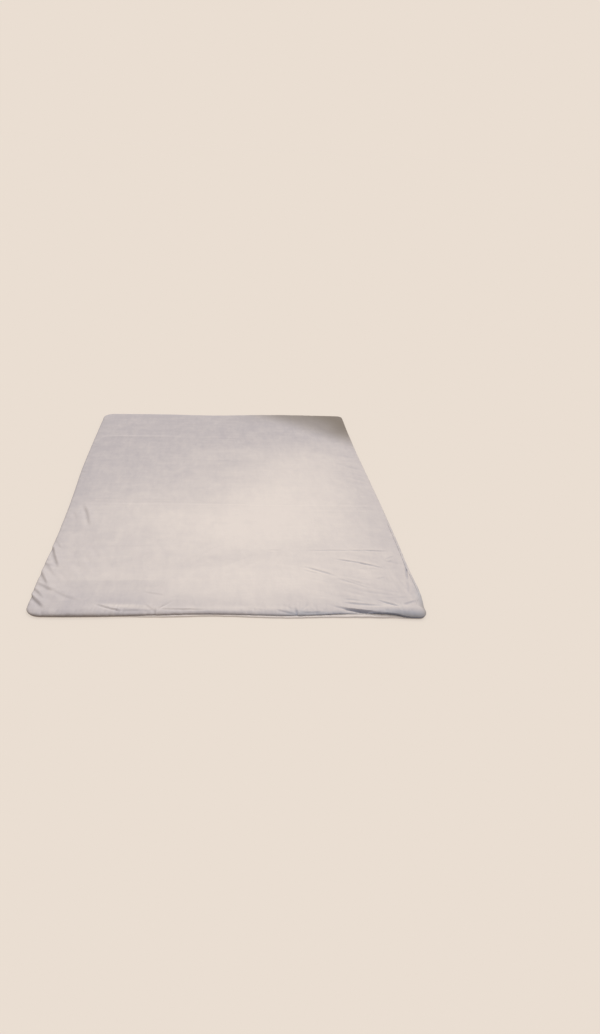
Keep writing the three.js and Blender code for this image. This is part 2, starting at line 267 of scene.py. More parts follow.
# Columns: place along the side, inset
NEAR_RIM = np.array([
    (-740, 14), (-600, 12), (-450, 13), (-340, 17), (-230, 19), (-120, 21), (0, 19), (110, 14),
    (217, 10), (330, 12), (430, 16), (520, 13), (584, 9), (630, 4), (662, -4), (700, -8), (730, -9),
], float)
FAR_RIM = np.array([
    (-700, 38), (-590, 36), (-470, 31), (-340, 28), (-220, 30), (-90, 26), (40, 12), (160, 2),
    (290, 0), (430, 0), (680, 0),
], float)
LEFT_RIM = np.array([
    (-950, 0), (-870, -2), (-715, 1), (-570, 5), (-410, 9), (-230, 10), (-40, 7), (180, 1),
    (430, 2), (720, 6), (880, 9),
], float)
RIGHT_RIM = np.array([
    (-1000, 15), (-960, 14), (-930, 9), (-900, 5), (-850, 2), (-710, 6), (-560, 3), (0, 2), (230, 5),
    (490, 7), (790, 4), (950, 0),
], float)

# Columns: place along the near side, height of the seam, its tuck, reach of the hem, height of the hem
NEAR_SEAM = np.array([
    (-430, 3.8, 4, -4, 3),
    (-330, 5.5, 2.8, 3, 5),
    (-230, 7, 2.6, 7, 6.5),
    (-90, 7, 2.6, 4, 6.5),
    (40, 7, 2.6, 6.5, 6.5),
    (220, 7, 2.6, 7.5, 6.5),
    (330, 8, 3.2, 8, 7),
    (430, 9, 4, 12, 8),
    (520, 10.5, 4, 11, 9),
    (584, 10, 5, 9, 8.5),
    (630, 7, 6, 4, 6),
    (665, 4.2, 6, -1, 3.5),
    (740, 3.8, 5, -4, 3),
], float)

# The other three sides have the same columns in one row
PLAIN_SEAM = np.array((3.8, 5, -4, 3), float)
print("nominal outline, mm:", WIDTH, "by", LENGTH)

# %% Tables of the roll, in millimetres
# Columns: place along the side, width of the roll, sharpness of its shoulder, where 1 is round and 2 a
# bevel, how high up it stands out furthest, as a share of its height, and how much painted shade its foot
# gets.
# Along the far side the last rows of the left and of the right go on.
NEAR_ROLL = np.array([
    (-640, 18, 1, 0.40, 0.8), (-430, 15, 1, 0.36, 0.5), (-300, 13, 1, 0.33, 0.1), (400, 12, 1, 0.33, 0),
    (500, 10, 1, 0.36, 0.2), (545, 11, 1.1, 0.60, 0.6), (600, 14, 1.4, 0.75, 0.9), (635, 17, 1.7, 0.62, 1),
    (665, 19, 1.8, 0.50, 1), (700, 21, 1.7, 0.46, 1), (730, 30, 1.5, 0.42, 0.8),
], float)
RIGHT_ROLL = np.array([
    (-960, 38, 1.5, 0.42, 0.8), (-935, 32, 1.5, 0.42, 0.5), (-895, 14, 1.3, 0.42, 0.4),
    (-840, 13, 1, 0.42, 0.4), (-760, 13, 1, 0.42, 0.4),
], float)
LEFT_ROLL = np.array([(-960, 18, 1, 0.42, 0.8), (-700, 14, 1, 0.42, 0.5)], float)
print("width of the roll, mm:", NEAR_ROLL[:, 1].min(), "to", RIGHT_ROLL[:, 1].max())

# %% A smooth curve through the rows of a table
def smooth(t):
    """An eased step from 0 to 1."""
    t = np.clip(t, 0.0, 1.0)
    return t * t * (3 - 2 * t)


def along(rows, at):
    """The columns of a table at places along it, on a smooth curve through its rows."""
    places, values = rows[:, 0], rows[:, 1:]
    slopes = np.gradient(values, places, axis=0)
    at = np.clip(at, places[0], places[-1])
    i = np.clip(np.searchsorted(places, at) - 1, 0, len(places) - 2)
    step = (places[i + 1] - places[i])[..., None]
    t = (at - places[i])[..., None] / step
    start = values[i] * (1 + 2 * t) * (1 - t) ** 2 + slopes[i] * step * t * (1 - t) ** 2
    return start + values[i + 1] * t * t * (3 - 2 * t) - slopes[i + 1] * step * t * t * (1 - t)


# %% The rim beside a point of the nominal rectangle
ON_SIDE_WITHIN = 1e-6


def rim_at(x, y):
    """Place of the rim, the way out from it, and the columns of the seam and of the roll there."""
    near_radius = np.where(x < 0, NEAR_LEFT_RADIUS, NEAR_RIGHT_RADIUS)
    far_radius = np.where(x < 0, FAR_LEFT_RADIUS, FAR_RIGHT_RADIUS)
    radius = np.where(y < 0, near_radius, far_radius)
    past_x = np.abs(x) - (HALF_WIDTH - radius)
    past_y = np.abs(y) - (HALF_LENGTH - radius)
    turned = (past_x > 0) & (past_y > 0)
    share = np.where(past_x >= past_y, past_y / radius, 2 - past_x / radius)
    angle = share * math.pi / 4
    on_side = np.abs(x) >= HALF_WIDTH - ON_SIDE_WITHIN
    way = np.stack([
        np.sign(x) * np.where(turned, np.cos(angle), on_side),
        np.sign(y) * np.where(turned, np.sin(angle), ~on_side),
    ], -1)
    centre = np.stack([np.sign(x) * (HALF_WIDTH - radius), np.sign(y) * (HALF_LENGTH - radius)], -1)
    place = np.where(turned[..., None], centre + way * radius[..., None], np.stack([x, y], -1))
    at_x, at_y = place[..., 0], place[..., 1]
    side_inset = np.where(x < 0, along(LEFT_RIM, at_y)[..., 0], along(RIGHT_RIM, at_y)[..., 0])
    end_inset = np.where(y < 0, along(NEAR_RIM, at_x)[..., 0], along(FAR_RIM, at_x)[..., 0])
    end_share = way[..., 1] ** 2
    inset = side_inset + (end_inset - side_inset) * end_share
    place = place - way * inset[..., None]
    at_x, at_y = place[..., 0], place[..., 1]
    near_share = (end_share * (y < 0))[..., None]
    seam = PLAIN_SEAM + (along(NEAR_SEAM, at_x) - PLAIN_SEAM) * near_share
    side_roll = np.where(x[..., None] < 0, along(LEFT_ROLL, at_y), along(RIGHT_ROLL, at_y))
    roll = side_roll + (along(NEAR_ROLL, at_x) - side_roll) * near_share
    return place, way, seam, roll


left_rim, right_rim = (rim_at(np.array(x), np.array(0.0))[0][0] for x in (-HALF_WIDTH, HALF_WIDTH))
print("width across the middle, mm:", round(float(right_rim - left_rim), 1))

# %% [markdown]
# ## The lie of the cloth
# Folds could come from a cloth simulation, but a simulation puts them where it likes, and here each one has
# its place. So every crease is a row in a table: a line on the spread cloth with a bow, a trough and a
# crest beside it. A crease in soft plush isn't even on both sides: the cloth rises slowly to a crest, drops
# steeply into the trough and climbs out gently, and that steep side is what reads as a dark line. The row's
# line wanders a little, and its depth breathes along it, so that no two folds look stamped.

# %% Seeded noise that wanders over the cloth
SEED = 4299

# The noise repeats after this many features
LATTICE = 97


def wander(x, y, size, seed):
    """Smooth noise from -1 to 1, with features of about one size."""
    table = np.random.default_rng(SEED + seed).uniform(-1, 1, (LATTICE, LATTICE))
    u, v = x / size, y / size
    i, j = np.floor(u).astype(int), np.floor(v).astype(int)
    s, t = smooth(u - i), smooth(v - j)

    def corner(a, b):
        return table[(i + a) % LATTICE, (j + b) % LATTICE]

    low = corner(0, 0) * (1 - s) + corner(1, 0) * s
    high = corner(0, 1) * (1 - s) + corner(1, 1) * s
    return low * (1 - t) + high * t


# %% Tables of the swells and the folds, in millimetres
# Height of the loft, how much lower it is at the rim, and how far in that reaches
LOFT = 18.5
RIM_DROP = 5.0
RIM_DROP_REACH = 26.0

# Columns: x, y, span across, span along, rise
SWELLS = [
    (640, -990, 170, 44, 11), (735, -925, 40, 60, 3.5), (-560, -985, 130, 34, 2),
    (60, 1010, 190, 130, -4.5), (480, 990, 260, 130, 2), (-460, -862, 180, 58, -2.5),
    (540, -760, 120, 90, 2.5), (640, -630, 90, 40, 1.5), (300, 180, 260, 320, 1.2),
    (-330, 330, 240, 260, -1.2),
]

# Columns: start x, y, end x, y, bow to the left, depth of the trough, width, height of the crest. The
# crest is on the left of the line. A negative depth is a raised ridge.
FOLDS = [
    # Puckers of the left edge
    (-755, -475, -710, -570, 0, 1.8, 7, 1.3),
    (-775, -510, -690, -720, 3, 4.6, 8, 3.4),
    (-770, -640, -695, -775, 0, 2.2, 9, 2.0),
    (-775, -700, -710, -835, 0, 3.6, 8, 3.0),
    (-765, -790, -680, -865, -4, 3.4, 9, 3.2),
    (-710, -835, -560, -925, -8, 1.1, 9, 1.2),
    (-775, -820, -705, -915, 0, 3.0, 7.5, 2.4),
    (-790, -845, -690, -975, 0, 5.4, 7.5, 3.8),
    (-690, -170, -620, -400, 6, 5.0, 7, 3.6),
    (-715, -250, -690, -340, 2, 1.4, 8, 1.2),
    # Creases and gathers of the near edge
    (-515, -940, -400, -985, -2, 2.6, 4, 1.4),
    (-415, -975, -290, -980, -2, 1.6, 8, 0.7),
    (-395, -955, -305, -965, 0, 0.7, 7, 0.4),
    (-350, -860, -250, -890, 0, 0.8, 5, 0.5),
    (-285, -960, -285, -1050, 0, 2.6, 4, 0.9),
    (-325, -940, -290, -985, 0, 1.1, 5, 0.9),
    (-220, -920, -285, -980, 0, 1.2, 4.5, 0.9),
    (-250, -945, -285, -990, 0, 0.9, 4, 0.8),
    (-285, -970, -90, -975, 0, 1.3, 4, 0.7),
    (50, -965, 145, -985, 0, 0.8, 6, 0.4),
    (245, -960, 245, -1060, 0, 4.4, 4.5, 1.4),
    (160, -975, 245, -1005, 0, 2.6, 4.5, 1.2),
    (195, -945, 240, -980, 0, 0.9, 5, 0.7),
    (300, -950, 255, -990, 0, 0.9, 5, 0.7),
    (255, -995, 360, -995, 0, 1.8, 4.5, 0.8),
    # Creases that gather above the deep fold
    (420, -935, 595, -970, 0, 2.4, 4.5, 1.7),
    (430, -915, 520, -930, 2, 1.4, 5, 0.9),
    (565, -920, 650, -975, 0, 3.2, 4, 2.1),
    (655, -960, 725, -930, 0, 2.0, 6, 1.4),
    (600, -910, 700, -905, 0, 0.8, 7, 0.5),
    # Creases spread over the near right quarter
    (290, -575, 735, -580, 4, 1.3, 3.8, 0.6),
    (575, -570, 690, -580, 1, 1.2, 4.5, 0.4),
    (160, -570, 225, -575, 0, 0.8, 5, 0.4),
    (430, -635, 655, -715, 7, 2.4, 3.8, 2.0),
    (295, -695, 450, -775, 6, 1.9, 4.5, 1.2),
    (295, -715, 370, -750, 0, 0.9, 4.5, 0.6),
    (425, -775, 560, -855, 2, 1.6, 5.5, 1.0),
    (455, -775, 540, -825, 0, 1.0, 5, 0.7),
    (590, -790, 635, -770, 0, 0.9, 5, 0.5),
    (660, -645, 710, -615, 0, 1.1, 5, 0.7),
    (665, -665, 690, -650, 0, 0.9, 5, 0.6),
    (515, -710, 635, -715, 0, 0.7, 5.5, 0.5),
    (753, -640, 722, -810, 3, 3.2, 4.5, 1.8),
    (725, -790, 705, -890, 2, 1.6, 5, 0.9),
    (645, -700, 635, -890, 2, 0.5, 6, 0.4),
    (605, 310, 740, 225, 0, 1.9, 14, 1.2),
    (640, 145, 745, 90, 0, 0.9, 13, 0.7),
    (650, 415, 740, 365, 0, 1.0, 11, 0.8),
    # Raised ridges of the far left quarter
    (-730, 620, -215, 635, 3, -1.6, 9, 0),
    (-755, 545, -680, 630, 6, -1.6, 9, 0),
    (-250, 835, -120, 840, 0, -1.4, 8, 0),
    (-735, 745, -675, 805, 5, -1.4, 9, 0),
    (-695, 805, -255, 825, 0, -0.8, 9, 0),
]
print("folds placed by hand:", len(FOLDS), "deepest, mm:", max(row[5] for row in FOLDS))

# %% Table of the deep fold beside the near right corner, in millimetres
# Columns: x, y of its foot, width from foot to lip, drop of the cloth in front of it, depth of the trough,
# height of the lip, and how far the lip leans over the trough
DEEP_FOLD = np.array([
    (370, -950, 12, 0, 0, 0, 0),
    (400, -965, 10, 0.8, 1.2, 0.6, 0),
    (430, -976, 9, 3, 2.5, 1.2, 2),
    (460, -983, 9, 6.5, 3.5, 1.6, 5),
    (485, -988, 10, 10, 4, 2, 7),
    (510, -995, 11, 13, 4, 2, 7),
    (530, -1001, 12, 15, 4, 1.6, 5),
    (560, -1013, 14, 16, 3, 0.8, 1.5),
    (600, -1032, 16, 16, 0, 0, 0),
    (740, -1070, 16, 16, 0, 0, 0),
], float)

# How far behind its lip the deep fold levels out, and how far back the lean goes
DEEP_FOLD_BACK = 26.0
LEAN_BACK = 16.0
print("length of the deep fold, mm:", DEEP_FOLD[-1, 0] - DEEP_FOLD[0, 0])


# %% Height of the loft
def deep_fold_at(x, y):
    """Place across the deep fold, from foot 0 to lip 1, share of the way back, and its other columns."""
    foot, width, drop, trough, crest, lean = np.moveaxis(along(DEEP_FOLD, x), -1, 0)
    t = (y - foot) / width
    behind = np.maximum(y - foot - width, 0) / DEEP_FOLD_BACK
    return t, behind, drop, trough, crest, lean


def loft_at(x, y):
    """Height of the upper panel without its folds."""
    side_drop = np.exp(-np.maximum(HALF_WIDTH - np.abs(x), 0) / RIM_DROP_REACH)
    end_drop = np.exp(-np.maximum(HALF_LENGTH - np.abs(y), 0) / RIM_DROP_REACH)
    loft = LOFT - RIM_DROP * (1 - (1 - side_drop) * (1 - end_drop))
    for sx, sy, span_x, span_y, rise in SWELLS:
        loft = loft + rise * np.exp(-(((x - sx) / span_x) ** 2) - ((y - sy) / span_y) ** 2)
    t, _, drop, *_ = deep_fold_at(x, y)
    return loft - drop * smooth(1 - t)


print("loft in the middle, mm:", loft_at(np.zeros(1), np.zeros(1)).round(1)[0])

# %% How far a fold pushes the cloth
# The share of its length over which a fold fades in and out at its ends
FOLD_FADE = 0.3

# How much a fold's line wanders, as a share of its width, how much its depth breathes, and over how many
# widths each does so
LINE_WANDER, LINE_WAVE = 0.3, 8
DEPTH_BREATH, BREATH_WAVE = 0.3, 6

# Bells across a fold, in its widths: the middle, and how wide the bell is below that and above it
TROUGH_BELL = (-0.5, 1.6, 1.0)
CREST_BELL = (1.0, 0.9, 3.0)
FOLD_REACH = 7


def off_line(x, y, row, seed):
    """Signed distance from a fold's line, in its widths and positive on its left, and the fade along it."""
    x0, y0, x1, y1, bow, _, width, _ = row
    dx, dy = x1 - x0, y1 - y0
    length = math.hypot(dx, dy)
    share = ((x - x0) * dx + (y - y0) * dy) / length**2
    bend = 4 * bow * share * (1 - share)
    bend = bend + LINE_WANDER * width * wander(share * length, np.zeros_like(share), LINE_WAVE * width, seed)
    distance = ((dx * (y - y0) - dy * (x - x0)) / length - bend) / width
    fade = smooth(share / FOLD_FADE) * smooth((1 - share) / FOLD_FADE)
    breath = wander(share * length, np.ones_like(share), BREATH_WAVE * width, seed + 1)
    return distance, fade * (1 + DEPTH_BREATH * breath)


def lobe(t, middle, below, above):
    """A bell with two sides of different width."""
    return np.exp(-(((t - middle) / np.where(t < middle, below, above)) ** 2))


def fold_push(x, y, rows):
    """How far the folds push the cloth out."""
    push = np.zeros_like(x)
    for k, row in enumerate(rows):
        x0, y0, x1, y1, bow, depth, width, crest = row
        reach = abs(bow) + FOLD_REACH * width
        inside = (x > min(x0, x1) - reach) & (x < max(x0, x1) + reach)
        inside &= (y > min(y0, y1) - reach) & (y < max(y0, y1) + reach)
        if not inside.any():
            continue
        t, fade = off_line(x[inside], y[inside], row, 2 * k)
        push[inside] += fade * (crest * lobe(t, *CREST_BELL) - depth * lobe(t, *TROUGH_BELL))
    return push


# %% [markdown]
# ## Small puckers, gathers and the soft surface
# The seam draws the rim in, so every few centimetres a small crease runs from the seam up over the roll.
# They are drawn by chance from a seed, with a spacing, a length and a slant for each side. Under everything
# lies a very low swell of a few sizes at once, which keeps the flat middle from looking like a board, and
# the pressed lines that were left when the blanket was folded for its bag. Where the cloth is slack, round
# the two near corners and along the seam, it also ripples one way: that is noise drawn out along the pull,
# and folded at its zero line, which turns smooth waves into broad soft lobes with narrow troughs between.

# %% Draw the small puckers
# Columns: side, mean step along it, mean reach into the cloth, slant, mean depth
PUCKER_SIDES = [
    ("near", 19, 34, 0.5, 1.1),
    ("left", 34, 40, 0.9, 0.5),
    ("right", 34, 32, 0.9, 0.5),
    ("far", 34, 28, 0.5, 0.4),
]

# How far beyond the rim a pucker starts, and how far from the corners, in millimetres
PUCKER_START = 24.0
CORNER_CLEARANCE = 40.0

# Lowest and highest step, reach and depth as shares of the mean, the width in millimetres, and the height
# of the crest as a share of the depth
STEP_SHARES = (0.4, 1.7)
REACH_SHARES = (0.5, 1.7)
DEPTH_SHARES = (0.3, 1.6)
PUCKER_WIDTHS = (5.0, 8.5)
PUCKER_CREST = 0.5

# The puckers of the left side lean towards the near edge, those of the other sides either way
LEFT_LEAN = 0.6
LEAN_SPREAD = 0.5


def pucker_rows():
    """Small folds along the rim: each starts beyond the rim and runs over the roll on to the top."""
    random = np.random.default_rng(SEED)
    rows = []
    for side, step, reach, slant, depth in PUCKER_SIDES:
        half = HALF_WIDTH if side in ("near", "far") else HALF_LENGTH
        at = -half + CORNER_CLEARANCE
        while at < half - CORNER_CLEARANCE:
            end = reach * random.uniform(*REACH_SHARES)
            lean = slant * random.normal(LEFT_LEAN if side == "left" else 0.0, LEAN_SPREAD)
            drift = (end + PUCKER_START) * lean
            deep = depth * random.uniform(*DEPTH_SHARES)
            wide = random.uniform(*PUCKER_WIDTHS)
            if side == "near":
                line = (at, -HALF_LENGTH - PUCKER_START, at + drift, -HALF_LENGTH + end)
            elif side == "far":
                line = (at, HALF_LENGTH + PUCKER_START, at + drift, HALF_LENGTH - end)
            elif side == "left":
                line = (-HALF_WIDTH - PUCKER_START, at, -HALF_WIDTH + end, at - drift)
            else:
                line = (HALF_WIDTH + PUCKER_START, at, HALF_WIDTH - end, at - drift)
            rows.append((*line, 0, deep, wide, PUCKER_CREST * deep))
            at += step * random.uniform(*STEP_SHARES)
    return rows


PUCKERS = pucker_rows()
print("small puckers:", len(PUCKERS))

# %% Tables of the low swell, the pressed lines and the ripples, in millimetres
# Columns: size of the features, height
SURFACE_SWELL = [(310, 0.9), (150, 0.55), (70, 0.3), (32, 0.12)]
SWELL_SHIFT = (31, 17)
SWELL_SEED = 900

# Columns: y, start x, end x, height: pressed lines that run across
PRESSED_ACROSS = [
    (-173, -690, 110, 0.5), (-177, 40, 745, 0.4), (-227, 410, 725, 0.4), (-127, -690, -260, -0.4),
    (-151, -690, -230, -0.4), (-542, -560, -180, -0.3), (616, -70, 90, -0.7), (541, 200, 330, -0.4),
    (331, -130, 260, 0.4), (88, -120, 130, 0.35),
]
PRESSED_WIDTH = 5.0
PRESSED_FADE = 45.0
PRESSED_WANDER, PRESSED_WAVE, PRESSED_SEED = 2.0, 160, 950

# Columns: x, y, span across, span along, direction in degrees, length and width of a ripple, height
RIPPLES = [
    (560, -760, 190, 190, -20, 150, 34, 1.5),
    (500, -900, 190, 60, -14, 110, 26, 1.3),
    (690, -800, 60, 190, -78, 120, 26, 1.0),
    (170, -972, 210, 32, 84, 70, 13, 1.5),
    (-390, -972, 180, 30, 80, 70, 13, 1.3),
    (-700, -730, 90, 260, -56, 130, 30, 1.7),
    (-600, -560, 130, 200, -62, 130, 42, 0.7),
    (700, 190, 80, 420, -30, 100, 30, 1.0),
    (-690, 600, 90, 330, 50, 110, 30, 1.0),
    (-120, -680, 300, 130, 36, 190, 44, 0.8),
    (-300, 120, 420, 330, 84, 260, 40, 0.45),
    (60, 300, 300, 240, 3, 240, 46, 0.45),
]
RIPPLE_SOFTNESS = 0.012
RIPPLE_GAIN, RIPPLE_LEVEL = 2, 0.8
RIPPLE_SEED = 1000
print("pressed lines:", len(PRESSED_ACROSS), "places with ripples:", len(RIPPLES))


# %% Add up the relief of the cloth
def ripples_at(x, y):
    """Soft lobes with narrow troughs, drawn out one way, round each place of the table."""
    relief = np.zeros_like(x)
    for k, (rx, ry, span_x, span_y, degrees, long, wide, rise) in enumerate(RIPPLES):
        a = math.radians(degrees)
        share = np.exp(-(((x - rx) / span_x) ** 2) - ((y - ry) / span_y) ** 2)
        u = (x * math.cos(a) + y * math.sin(a)) / long
        v = (y * math.cos(a) - x * math.sin(a)) / wide
        wave = wander(u, v, 1.0, RIPPLE_SEED + k)
        lobes = RIPPLE_GAIN * np.sqrt(wave * wave + RIPPLE_SOFTNESS) - RIPPLE_LEVEL
        relief += rise * share * lobes
    return relief


def low_relief(x, y):
    """The surface's own unevenness: a low swell of several sizes, and the pressed packing lines."""
    relief = np.zeros_like(x)
    for k, (size, rise) in enumerate(SURFACE_SWELL):
        relief += rise * wander(x + SWELL_SHIFT[0] * k, y + SWELL_SHIFT[1] * k, size, SWELL_SEED + k)
    for k, (at, start, end, rise) in enumerate(PRESSED_ACROSS):
        line = at + PRESSED_WANDER * wander(x, np.full_like(x, k), PRESSED_WAVE, PRESSED_SEED)
        fade = smooth((x - start) / PRESSED_FADE) * smooth((end - x) / PRESSED_FADE)
        t = (y - line) / PRESSED_WIDTH
        relief -= rise * fade * t * np.exp(0.5 - t * t / 2)
    return relief


# Bells across the deep fold, as for the other folds: its lip, its trough, and the part that leans
LIP_BELL = (1, 0.4, 1)
DEEP_TROUGH_BELL = (-0.1, 0.5, 0.4)
LEAN_BELL = (1, 0.5, 1)


def cloth_relief(x, y):
    """Everything that lifts the cloth off its smooth loft."""
    t, behind, _, trough, crest, _ = deep_fold_at(x, y)
    lip = crest * np.exp(-behind * behind) * lobe(np.minimum(t, 1), *LIP_BELL)
    deep = lip - trough * lobe(t, *DEEP_TROUGH_BELL)
    return fold_push(x, y, FOLDS) + fold_push(x, y, PUCKERS) + deep + ripples_at(x, y) + low_relief(x, y)


def leaned(x, y):
    """How far towards the near edge the cloth leans, where the deep fold's crest hangs over its trough."""
    t, behind, _, _, _, lean = deep_fold_at(x, y)
    back = np.exp(-((behind * DEEP_FOLD_BACK / LEAN_BACK) ** 2))
    return lean * lobe(np.minimum(t, 1), *LEAN_BELL) * back


# %% What the shade of the pile goes by
# How far from a point its surroundings are taken, in millimetres
HOLLOW_REACH = 7.0

# Shares of the way down the roll at which the painted shade of its foot begins and is full
FOOT_FROM = 0.02
FOOT_FULL = 0.45


def hollow_at(x, y):
    """How far each point lies below its surroundings, in millimetres, and negative on a crest."""
    steps = [(HOLLOW_REACH, 0), (-HOLLOW_REACH, 0), (0, HOLLOW_REACH), (0, -HOLLOW_REACH)]
    return sum(cloth_relief(x + dx, y + dy) for dx, dy in steps) / len(steps) - cloth_relief(x, y)


def foot_at(z, crown):
    """How far down the roll a height is, as a soft step from 0 to 1."""
    return smooth((1 - z / crown - FOOT_FROM) / (FOOT_FULL - FOOT_FROM))


# %% [markdown]
# ## The upper panel
# The panel is one closed mesh. Its top is a grid of rows and columns, closer together where the creases
# are, and blended from the four uneven sides, so that the grid's edge runs along the rim. From that edge the
# cloth goes down over the loft in a round, in under itself to the seam, and across underneath as one flat
# face. The folds go on over the round, because each point there knows where it lay on the cloth before it
# was bent down.

# %% Spacing of the grid, in millimetres
# Rows: up to which place, and the largest step
X_SPACING = [(-600, 3.2), (-320, 5.6), (-240, 3.6), (230, 6.6), (270, 3.6), (640, 4.2), (HALF_WIDTH, 3.2)]
NEAR_ZONE = -546.0
Y_SPACING = [
    (-925, 2.9), (NEAR_ZONE, 3.0), (-160, 7.5), (600, 11.0), (650, 5.5), (945, 11.0), (HALF_LENGTH, 5.5),
]

# Degrees of turn at which the roll has a ring of points, above where it stands out furthest and below
UPPER_TURNS = [12, 24, 36, 48, 60, 70, 80, 90]
LOWER_TURNS = [25, 48, 70, 90]

# How far inside the rim the flat underside lies, how thick the lower panel is there, the gap between the
# two, and the share of a fold's push that goes on where the roll faces outward
UNDERSIDE_INSET = 25.0
LOWER_THICKNESS = 3.0
PIECE_GAP = 0.3
ROLL_PUSH = 0.55


def grid_lines(start, spacing):
    """Places of grid lines, with an even number of steps up to each row's end."""
    lines = [start]
    for up_to, step in spacing:
        count = 2 * math.ceil((up_to - lines[-1]) / step / 2)
        lines += list(np.linspace(lines[-1], up_to, count + 1)[1:])
    return np.array(lines)


# %% Points and faces of the grid
def blended_grid(x_lines, y_lines):
    """Places of a grid's points, blended from the four uneven sides, each drawn in by its roll."""
    def side(x, y):
        place, way, _, roll = rim_at(*np.broadcast_arrays(np.asarray(x, float), np.asarray(y, float)))
        return place - way * roll[..., :1]

    u = ((x_lines + HALF_WIDTH) / WIDTH)[None, :, None]
    v = ((y_lines + HALF_LENGTH) / LENGTH)[:, None, None]
    ends = side(x_lines, -HALF_LENGTH)[None] * (1 - v) + side(x_lines, HALF_LENGTH)[None] * v
    sides = side(-HALF_WIDTH, y_lines)[:, None] * (1 - u) + side(HALF_WIDTH, y_lines)[:, None] * u
    near = side(-HALF_WIDTH, -HALF_LENGTH) * (1 - u) + side(HALF_WIDTH, -HALF_LENGTH) * u
    far = side(-HALF_WIDTH, HALF_LENGTH) * (1 - u) + side(HALF_WIDTH, HALF_LENGTH) * u
    return ends + sides - near * (1 - v) - far * v


def rim_walk(x_count, y_count, split):
    """Row and column of each point round the grid's edge, anticlockwise from the near left corner."""
    near = [(0, column) for column in range(x_count - 1)]
    right = [(row, x_count - 1) for row in range(y_count - 1)]
    far = [(y_count - 1, column) for column in range(x_count - 1, 0, -2 if split < y_count else -1)]
    left = [(row, 0) for row in range(y_count - 1, 0, -1)]
    return np.array(near + right + far + left).T


def grid_faces(x_count, y_count, split):
    """Faces of a grid with half its columns beyond the split row, and the number of each point."""
    used = np.ones((y_count, x_count), bool)
    used[split + 1:, 1::2] = False
    number = np.where(used, np.cumsum(used).reshape(used.shape) - 1, -1)
    near = number[:split + 1]
    faces = np.stack([near[:-1, :-1], near[:-1, 1:], near[1:, 1:], near[1:, :-1]], -1)
    edge, beyond = number[split], number[split + 1:, ::2]
    seam = np.stack([edge[:-2:2], edge[1:-1:2], edge[2::2], beyond[0, 1:], beyond[0, :-1]], -1)
    far = np.stack([beyond[:-1, :-1], beyond[:-1, 1:], beyond[1:, 1:], beyond[1:, :-1]], -1)
    return faces.reshape(-1, 4).tolist() + seam.tolist() + far.reshape(-1, 4).tolist(), number


def band_faces(upper, lower):
    """Faces between two rings of points, the second below or outside the first."""
    return np.stack([upper, lower, np.roll(lower, -1), np.roll(upper, -1)], -1).tolist()


# %% Build the upper panel
def roll_steps(seam_height, tuck, roll, crown):
    """Rings down the roll: inset from the rim, height, and how far each faces outward and upward."""
    width, shoulder, bulge, _ = roll.T
    middle = seam_height + bulge * (crown - seam_height)
    steps = []
    for degrees in UPPER_TURNS:
        a = math.radians(degrees)
        inset = width * (1 - math.sin(a) ** shoulder)
        z = middle + (crown - middle) * max(math.cos(a), 0) ** shoulder
        steps.append((inset, z, math.sin(a), math.cos(a)))
    for degrees in LOWER_TURNS:
        a = math.radians(degrees)
        z = middle - (middle - seam_height) * math.sin(a)
        steps.append((tuck * (1 - math.cos(a)), z, math.cos(a), 0.0))
    return steps


def upper_panel():
    """Points in millimetres, faces, how hollow the cloth is at each point, and the painted shade of the
    roll's foot.
    """
    x_lines = grid_lines(-HALF_WIDTH, X_SPACING)
    y_lines = grid_lines(-HALF_LENGTH, Y_SPACING)
    split = int(np.argmin(np.abs(y_lines - NEAR_ZONE)))
    faces, number = grid_faces(len(x_lines), len(y_lines), split)
    plan = blended_grid(x_lines, y_lines)[number >= 0]
    x, y = plan.T
    top = np.column_stack([x, y - leaned(x, y), loft_at(x, y) + cloth_relief(x, y)])
    points, hollows, feet = [top], [hollow_at(x, y)], [np.zeros(len(top))]
    rows, columns = rim_walk(len(x_lines), len(y_lines), split)
    place, way, seam, roll = rim_at(x_lines[columns], y_lines[rows])
    width, foot_shade = roll[:, 0], roll[:, 3]
    ring = number[rows, columns]
    edge = place - way * width[:, None]
    crown = loft_at(edge[:, 0], edge[:, 1])
    spread = width
    before = (width, crown)
    for inset, z, outward, upward in roll_steps(seam[:, 0], seam[:, 1], roll, crown):
        spread = spread - np.hypot(inset - before[0], z - before[1])
        before = (inset, z)
        cloth = place - way * spread[:, None]
        push = cloth_relief(cloth[:, 0], cloth[:, 1]) * (ROLL_PUSH + (1 - ROLL_PUSH) * upward)
        flat = place - way * (inset - push * outward)[:, None]
        flat[:, 1] -= leaned(cloth[:, 0], cloth[:, 1]) * upward
        start = sum(len(p) for p in points)
        points.append(np.column_stack([flat, z + push * upward]))
        hollows.append(hollow_at(cloth[:, 0], cloth[:, 1]))
        feet.append(foot_shade * foot_at(z, crown))
        lower = start + np.arange(len(ring))
        faces += band_faces(ring, lower)
        ring = lower
    under = place - way * UNDERSIDE_INSET
    start = sum(len(p) for p in points)
    points.append(np.column_stack([under, np.full(len(under), LOWER_THICKNESS + PIECE_GAP)]))
    hollows.append(np.zeros(len(under)))
    feet.append(np.ones(len(under)))
    lower = start + np.arange(len(ring))
    faces += band_faces(ring, lower)
    faces.append(lower[::-1].tolist())
    return np.concatenate(points), faces, np.concatenate(hollows), np.concatenate(feet)


def made_mesh(name, points, polygons):
    """A smooth mesh object from points in millimetres."""
    mesh = bpy.data.meshes.new(name)
    mesh.from_pydata((points * MM).tolist(), [], polygons)
    mesh.polygons.foreach_set("use_smooth", [True] * len(mesh.polygons))
    mesh.update()
    piece = bpy.data.objects.new(name, mesh)
    scene.collection.objects.link(piece)
    return piece


face_points, face_polygons, face_hollow, face_foot = upper_panel()
face = made_mesh("face_cloth", face_points, face_polygons)
triangles = sum(len(p.vertices) - 2 for p in face.data.polygons)
print("face: points", len(face_points), "triangles", triangles)

